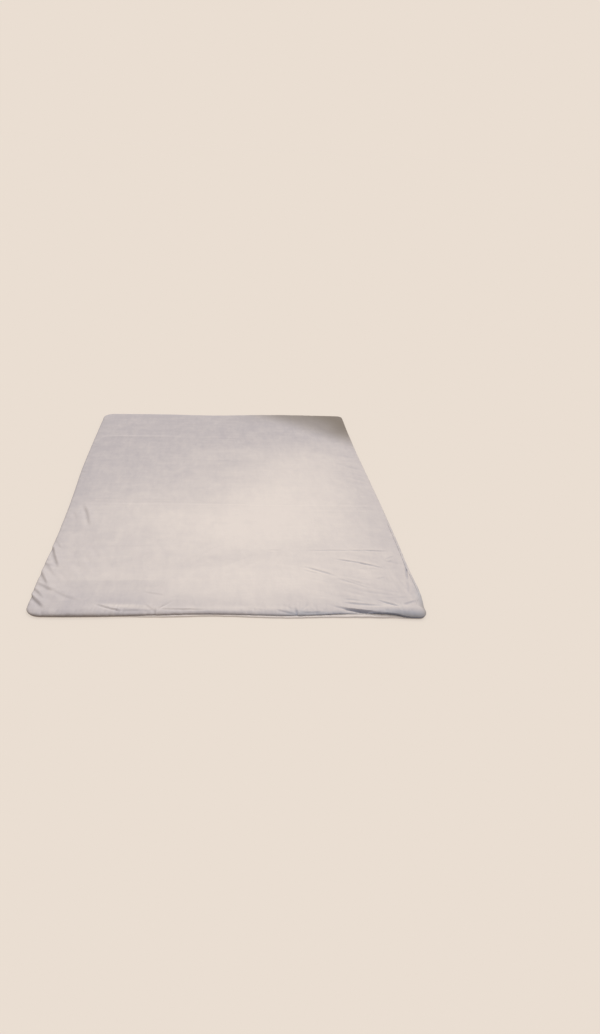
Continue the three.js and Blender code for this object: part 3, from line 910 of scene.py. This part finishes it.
# %% [markdown]
# ## The lower panel
# It is a thin sheet of the same plush, and it only shows as the turned hem along the near short edge. A hem
# is cloth folded back on itself, so its edge is two small rounds with a groove between them.

# %% Build the lower panel
BACK_X_SPACING = [(HALF_WIDTH, 8.0)]
BACK_Y_SPACING = [(HALF_LENGTH, 12.0)]

# How far inside the tuck the hem's crest stays at least, how far inside the hem's reach the crest lies, as
# a share of its height, and how much the reach wanders, over what length
CREST_CLEARANCE = 0.5
HEM_ROUND = 0.4
HEM_WAVE, HEM_WAVE_LENGTH, HEM_SEED = 0.9, 26, 980

# Rings below the crest: how far inside the hem's reach, and how high, as shares of its height. The third
# is the groove between the two rounds.
HEM_RINGS = [(0.14, 0.9), (0, 0.72), (0.10, 0.52), (0, 0.32), (0, 0.12), (0.10, 0)]


def lower_panel():
    """Points in millimetres and faces of the sheet with its turned hem."""
    x_lines = grid_lines(-HALF_WIDTH, BACK_X_SPACING)
    y_lines = grid_lines(-HALF_LENGTH, BACK_Y_SPACING)
    rows, columns = rim_walk(len(x_lines), len(y_lines), len(y_lines))
    place, way, seam, _ = rim_at(x_lines[columns], y_lines[rows])
    seam_height, tuck, reach, hem = seam.T
    wave = wander(place[:, 0], place[:, 1], HEM_WAVE_LENGTH, HEM_SEED)
    reach = reach + HEM_WAVE * wave * (reach > 0)
    crest_inset = np.minimum(HEM_ROUND * hem - reach, tuck - CREST_CLEARANCE)
    crest_height = np.minimum(hem, seam_height - 2 * PIECE_GAP)
    rings = [
        (np.full_like(hem, UNDERSIDE_INSET), np.full_like(hem, LOWER_THICKNESS)),
        (tuck, seam_height - PIECE_GAP),
        (crest_inset, crest_height),
        *[(inset * hem - reach, height * crest_height) for inset, height in HEM_RINGS],
    ]
    points = [np.column_stack([place - way * inset[:, None], z]) for inset, z in rings]
    numbers = [k * len(place) + np.arange(len(place)) for k in range(len(rings))]
    faces = [face for k in range(1, len(rings)) for face in band_faces(numbers[k - 1], numbers[k])]
    return np.concatenate(points), faces + [numbers[0].tolist(), numbers[-1][::-1].tolist()]


back_points, back_polygons = lower_panel()
back = made_mesh("back_cloth", back_points, back_polygons)
print("back: points", len(back_points), "highest hem, mm:", round(back_points[:, 2].max(), 1))

# %% [markdown]
# ## The brushed nap, with painted light
# Plush is lighter where its pile leans towards the light and darker where it leans away, and a hand that has
# smoothed it leaves broad soft patches of both. Painted pictures of such patches would need an image, so they
# are soft ovals in a short table, each with a place, two spans, a turn and a strength. Some rows are painted
# light and painted shade: a broad lit area over the middle, painted highlights on a ridge, on a lip and on
# the top of the near roll, and painted shade low on the near roll and along its seam. Where the blanket was
# folded for its bag the pile turned over at the fold, so a second table has tone steps: sharp at a pressed
# line and fading away on one side of it. Both are worked out at each point of the mesh and carried to the
# material as one attribute of nap and painted light.

# %% Tables of the nap and of the painted light, in millimetres
NAP_AND_LIGHT_BASE = 0.07

# Columns: x, y, span along the oval, span across it, turn in degrees, strength
# Brushed patches of the pile, and rows of painted light and painted shade, each named above its row
NAP_AND_LIGHT_PATCHES = [
    # Next row: painted light, the broad lit area over the middle
    (280, -250, 560, 430, 70, 0.80),
    (-250, -420, 480, 360, 10, 0.50),
    (-480, -160, 280, 230, 20, 0.22),
    (0, 290, 900, 330, 0, 0.14),
    (430, 330, 300, 200, 30, 0.28),
    (120, -860, 620, 160, 0, 0.30),
    (100, -780, 900, 170, 0, 0.22),
    (-560, -760, 220, 150, 0, 0.14),
    (-680, -560, 110, 220, 0, 0.12),
    (640, -560, 180, 260, 0, 0.16),
    (-760, -100, 60, 700, 0, -0.10),
    (-560, 980, 300, 60, 0, -0.10),
    (20, 420, 160, 60, 0, 0.14),
    (-150, 330, 90, 160, 10, 0.12),
    (60, 170, 70, 45, 0, 0.14),
    # Next row: painted highlight along the raised ridge of the far left
    (-470, 627, 300, 14, 1, 0.13),
    (680, -380, 70, 190, 0, -0.08),
    (-520, -960, 70, 26, 0, 0.16),
    (520, 40, 120, 160, 0, 0.12),
    (560, -560, 240, 380, 0, 0.06),
    (480, -830, 110, 60, -15, -0.08),
    # Next three rows: painted highlight on the lip above the deep fold and on the top of the near roll
    (620, -970, 110, 16, -3, 0.40),
    (-400, -955, 90, 10, -4, 0.35),
    (-60, -968, 330, 14, 0, 0.22),
    # Next row: painted shade low on the near roll
    (-365, -986, 75, 14, 0, -0.60),
    (-60, -650, 260, 40, 14, -0.12),
    # Next two rows: painted shade along the groove of the near seam
    (-100, -990, 70, 7, 0, -0.35),
    (90, -990, 150, 7, 0, -0.30),
]

# Columns: y of the line, start x, end x, fade, strength. A positive fade is beyond the line, a negative one
# on the near side
NAP_STEPS = [
    (-172, -720, 120, 90, -0.09),
    (-788, -690, -235, -240, -0.18),
    (-566, -80, 220, -60, -0.08),
    (331, -140, 280, -90, -0.12),
    (88, -140, 140, 60, -0.10),
    (624, -720, -235, -70, -0.10),
    (-943, -520, -290, -26, 0.16),
]
NAP_STEP_EDGE = 9.0
NAP_STEP_END = 120.0

# How much the line of a step wanders, and over what length
STEP_WANDER, STEP_WAVE, STEP_SEED = 3.0, 130, 970
print("patches of nap:", len(NAP_AND_LIGHT_PATCHES), "tone steps:", len(NAP_STEPS))

# %% Tables of the painted dark shade and the painted cool shade
# The far right corner gets painted shade past a slanting line: a point on the line, the way across it, and
# rows of how far past the line the painted shade begins, where it is full, and its strength
PAINTED_SHADE_LINE = (525, 820)
PAINTED_SHADE_WAY = math.radians(49)
PAINTED_SHADE_BANDS = [(-140, 60, 0.62), (30, 240, 0.38)]

# Columns as for the patches: the soft end of that painted shade, and painted cool shade along the near
# and right edges
PAINTED_SHADE_PATCHES = [(280, 980, 230, 120, 0, 0.16), (730, 760, 90, 120, 0, 0.22)]
PAINTED_COOL_SHADE_PATCHES = [
    (640, -1010, 85, 15, -7, 0.75),
    (715, -1018, 50, 18, 0, 0.4),
    (590, -955, 170, 40, -4, 0.14),
    (752, -930, 90, 20, 90, 0.6),
    (762, -650, 260, 12, 90, 0.5),
    (310, -1000, 150, 9, 0, 0.55),
    (245, -990, 40, 14, 0, 0.35),
]
print("cool parts:", len(PAINTED_COOL_SHADE_PATCHES))


# %% Add up the patches, the shade and the steps
def patches_at(x, y, base, rows):
    """The sum of the soft ovals over a base value."""
    value = np.full_like(x, base)
    for px, py, long, short, degrees, strength in rows:
        a = math.radians(degrees)
        u = ((x - px) * math.cos(a) + (y - py) * math.sin(a)) / long
        v = ((y - py) * math.cos(a) - (x - px) * math.sin(a)) / short
        value = value + strength * np.exp(-u * u - v * v)
    return value


def painted_shade_at(x, y):
    """How much painted shade each point gets, from its soft ovals and the far right corner."""
    past = (x - PAINTED_SHADE_LINE[0]) * math.cos(PAINTED_SHADE_WAY) + (y - PAINTED_SHADE_LINE[1]) * math.sin(PAINTED_SHADE_WAY)
    bands = sum(strength * smooth((past - start) / (full - start)) for start, full, strength in PAINTED_SHADE_BANDS)
    return patches_at(x, y, 0.0, PAINTED_SHADE_PATCHES) + bands


def steps_at(x, y):
    """The sum of the tone steps at the pressed lines."""
    value = np.zeros_like(x)
    for k, (at, start, end, fade, strength) in enumerate(NAP_STEPS):
        line = at + STEP_WANDER * wander(x, np.full_like(x, k), STEP_WAVE, STEP_SEED)
        past = (y - line) * np.sign(fade)
        ends = smooth((x - start) / NAP_STEP_END) * smooth((end - x) / NAP_STEP_END)
        value += strength * ends * smooth(past / NAP_STEP_EDGE) * np.exp(-np.maximum(past, 0) / abs(fade))
    return value


# %% Carry them to the mesh
def paint(piece, name, values):
    """Stores one number at each point of the mesh, for the material to read."""
    attribute = piece.data.attributes.new(name, "FLOAT", "POINT")
    attribute.data.foreach_set("value", values.astype(np.float32))


# The hollow that counts as full, in millimetres, the nap of the hem, and how strong the painted shade at the
# foot of the roll is
HOLLOW_FULL = 5.0
HEM_NAP = 1.0
FOOT_PAINTED_SHADE = 0.6
face_x, face_y = face_points[:, 0], face_points[:, 1]
# Nap with painted light in it, carried as one attribute
face_nap_and_light = patches_at(face_x, face_y, NAP_AND_LIGHT_BASE, NAP_AND_LIGHT_PATCHES) + steps_at(face_x, face_y)
paint(face, "nap_and_light", np.clip(face_nap_and_light, 0, 1))
# Painted dark shade in the far right corner and at the foot of the roll
face_painted_shade = painted_shade_at(face_x, face_y) + FOOT_PAINTED_SHADE * face_foot
paint(face, "painted_dark_shade", np.clip(face_painted_shade, 0, 1))
# Painted cool shade along the near and right edges
paint(face, "painted_cool_shade", np.clip(patches_at(face_x, face_y, 0.0, PAINTED_COOL_SHADE_PATCHES), 0, 1))
paint(face, "hollow", np.clip(face_hollow / HOLLOW_FULL, -1, 1))
paint(back, "nap_and_light", np.full(len(back_points), HEM_NAP))
for name in ("painted_dark_shade", "painted_cool_shade", "hollow"):
    paint(back, name, np.zeros(len(back_points)))
print("deepest hollow, mm:", round(face_hollow.max(), 1), "highest crest, mm:", round(-face_hollow.min(), 1))

# %% [markdown]
# ## The plush
# The finish is a short, dense pile. From where the eye stands no fibre shows, only what many of them do
# together: a tone mottled at three to twelve centimetres, streaks along and across where the cloth was
# smoothed, and a fine grain. So the colour is a mix of a cream and a lilac grey by the nap and its painted
# light, stirred by noise at those sizes, and the pile itself is a bump of tufts a couple of millimetres wide,
# in clumps.
#
# Pile that is turned from the light, or pressed together in a crease, shades itself and looks darker than
# any smooth cloth would. That could be left to the lamps, but they don't know of fibres, so painted shade for
# the slope and the depth of the crease is mixed into the colour: level cloth keeps its own, crests get a
# little painted highlight, and the painted shade goes warm on the left and cool on the right, as beside a
# window. On top of that come painted dark shade in the far right corner and at the foot of the roll, and
# painted cool shade along the near and right rims.

# %% Colours of the plush and of its painted shade
CREAM = (0.672, 0.615, 0.578)
LILAC = (0.442, 0.412, 0.425)
# Colours of the painted dark shade and of the painted cool shade
PAINTED_DARK_SHADE = (0.205, 0.178, 0.152)
PAINTED_COOL_SHADE = (0.385, 0.392, 0.425)
# What the painted shade on slopes and in creases multiplies the cloth by, warm on the left, cool on the right
SHADE_LEFT = np.array((0.46, 0.44, 0.43))
SHADE_RIGHT = np.array((0.46, 0.53, 0.68))

# Where across the blanket, in metres, the shade begins to turn from warm to cool, and where it has turned
SHADE_TURNS_FROM, SHADE_TURNS_TO = -0.25, 0.45

# The share of the full painted shade on level cloth, and what slopes and hollows add to it. The hem is
# rolled tight, so its slopes add less of it.
LEVEL = 0.2
SLOPE_GAIN = 0.5
HEM_SLOPE_GAIN = 0.2
HOLLOW_GAIN = 0.6

# The way from which the painted light and shade on slopes comes: the sun's side, but lower than the sun
PAINTED_LIGHT_HEIGHT = math.radians(46)
PAINTED_LIGHT_WAY = (
    math.cos(SUN_FROM) * math.cos(PAINTED_LIGHT_HEIGHT),
    math.sin(SUN_FROM) * math.cos(PAINTED_LIGHT_HEIGHT),
    math.sin(PAINTED_LIGHT_HEIGHT),
)
print("way of the light into the pile:", [round(v, 2) for v in PAINTED_LIGHT_WAY])


# %% Noise and the mesh's own numbers
def attribute(tree, name):
    """A number that the mesh carries at each point."""
    return node(tree, "ShaderNodeAttribute", {"attribute_name": name}, output="Fac")


def noise(tree, position, scale, detail, roughness, distortion=0.0):
    """Noise from 0 to 1 with its own scale along each axis, in features a metre."""
    stretched = node(tree, "ShaderNodeVectorMath", {"operation": "MULTIPLY"}, {0: position, 1: scale})
    inputs = {"Vector": stretched, "Scale": 1.0, "Detail": detail, "Roughness": roughness}
    inputs["Distortion"] = distortion
    return node(tree, "ShaderNodeTexNoise", {"noise_dimensions": "3D"}, inputs)


# %% The colour of the cloth
# How much each noise stirs the nap, and how much less it does on fully brushed cloth
MOTTLE_STIR, FLECK_STIR, ACROSS_STIR, ALONG_STIR, GRAIN_STIR = 0.50, 0.38, 0.36, 0.32, 0.12
STIR, STIR_LOSS = 1.1, 0.5


def cloth_colour(tree, position):
    """Lilac to cream by the nap and its painted light, then the painted cool shade, then the painted dark
    shade.
    """
    brushed_and_lit = attribute(tree, "nap_and_light")
    mottle = noise(tree, position, (11, 8, 9), 3.0, 0.6, 0.8)
    flecks = noise(tree, position, (34, 22, 20), 3.0, 0.6, 0.6)
    across_streaks = noise(tree, position, (5, 36, 20), 4.0, 0.65)
    along_streaks = noise(tree, position, (44, 7, 20), 4.0, 0.65)
    grain = noise(tree, position, (330, 330, 330), 2.0, 0.6)
    soft = MOTTLE_STIR * (mottle - 0.5) + FLECK_STIR * (flecks - 0.5)
    stir = soft + ACROSS_STIR * (across_streaks - 0.5) + ALONG_STIR * (along_streaks - 0.5)
    nap_and_light = brushed_and_lit + stir * (STIR - STIR_LOSS * brushed_and_lit) + GRAIN_STIR * (grain - 0.5)
    # Lilac to cream by the nap and its painted light
    cloth = mixed(tree, nap_and_light, LILAC, CREAM)
    # Painted cool shade, then painted dark shade, over the cloth's colour
    cloth = mixed(tree, attribute(tree, "painted_cool_shade"), cloth, PAINTED_COOL_SHADE)
    return mixed(tree, attribute(tree, "painted_dark_shade"), cloth, PAINTED_DARK_SHADE)


# %% The tone of its slopes and hollows
def lit(shade):
    """The painted highlight that a crest is multiplied by, so that level cloth comes out unchanged."""
    return tuple((1 - LEVEL * shade) / (1 - LEVEL))


def shade_tone(tree, position, slope_gain):
    """Painted shade and highlight: the colour by which the cloth's own is multiplied, for its slope and
    hollows.
    """
    normal = node(tree, "ShaderNodeTexCoord", output="Normal")
    dot = {"operation": "DOT_PRODUCT"}
    facing = node(tree, "ShaderNodeVectorMath", dot, {0: normal, 1: PAINTED_LIGHT_WAY}, "Value")
    # Painted shade on slopes turned from the painted light and in hollows, painted highlight on crests
    turned_away = (PAINTED_LIGHT_WAY[2] - facing) * slope_gain
    shade = turned_away + attribute(tree, "hollow") * HOLLOW_GAIN + LEVEL
    across = node(tree, "ShaderNodeSeparateXYZ", inputs={0: position}, output="X")
    places = {"Value": across, "From Min": SHADE_TURNS_FROM, "From Max": SHADE_TURNS_TO}
    # How far the painted shade has turned from warm to cool across the blanket
    painted_cool_shade = node(tree, "ShaderNodeMapRange", {"interpolation_type": "SMOOTHSTEP"}, places)
    crest_highlight = mixed(tree, painted_cool_shade, lit(SHADE_LEFT), lit(SHADE_RIGHT))
    shade_colour = mixed(tree, painted_cool_shade, tuple(SHADE_LEFT), tuple(SHADE_RIGHT))
    return mixed(tree, shade, crest_highlight, shade_colour)


# %% Make the plush material
# How much the tufts count beside the clumps, and the strength and the depth of their bump, in metres
TUFT_SHARE = 0.5
BUMP = {"Strength": 0.35, "Distance": 0.0012}

# A matt cloth with a faint light fringe at its edges
FINISH = {
    "Roughness": 0.95,
    "Specular IOR Level": 0.15,
    "Sheen Weight": 0.12,
    "Sheen Roughness": 0.45,
    "Sheen Tint": (0.86, 0.84, 0.88, 1.0),
}


def plush(name, slope_gain):
    """Short-pile plush that reads nap with painted light, painted shade and hollow from the mesh."""
    material = bpy.data.materials.new(name)
    material.use_nodes = True
    tree = material.node_tree
    shader = tree.nodes["Principled BSDF"]
    for setting, value in FINISH.items():
        shader.inputs[setting].default_value = value

    position = node(tree, "ShaderNodeTexCoord", output="Object")
    cloth = cloth_colour(tree, position)
    tone = shade_tone(tree, position, slope_gain)
    # The cloth's colour times its painted shade and painted highlight
    toned = mixed(tree, 1.0, cloth, tone, "MULTIPLY")
    tree.links.new(toned.socket, shader.inputs["Base Color"])

    tufts = noise(tree, position, (420, 420, 420), 3.0, 0.6)
    clumps = noise(tree, position, (95, 80, 90), 2.0, 0.5)
    bump = node(tree, "ShaderNodeBump", inputs={**BUMP, "Height": tufts * TUFT_SHARE + clumps})
    tree.links.new(bump.socket, shader.inputs["Normal"])
    return material


face.data.materials.append(plush("face_plush", SLOPE_GAIN))
back.data.materials.append(plush("back_plush", HEM_SLOPE_GAIN))
print("materials:", face.data.materials[0].name, "and", back.data.materials[0].name)

# %% [markdown]
# ## What stands for what
# Both cloths ride on the blanket's one body and stand for the plain solids. The upper one is a padded piece,
# barely filled. The lower one is a sheet that was cut to the blanket's own size.

for piece, solid, slot in ((face, "face_panel", "face_plush"), (back, "back_panel", "back_plush")):
    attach(piece, "root")
    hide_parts(solid)
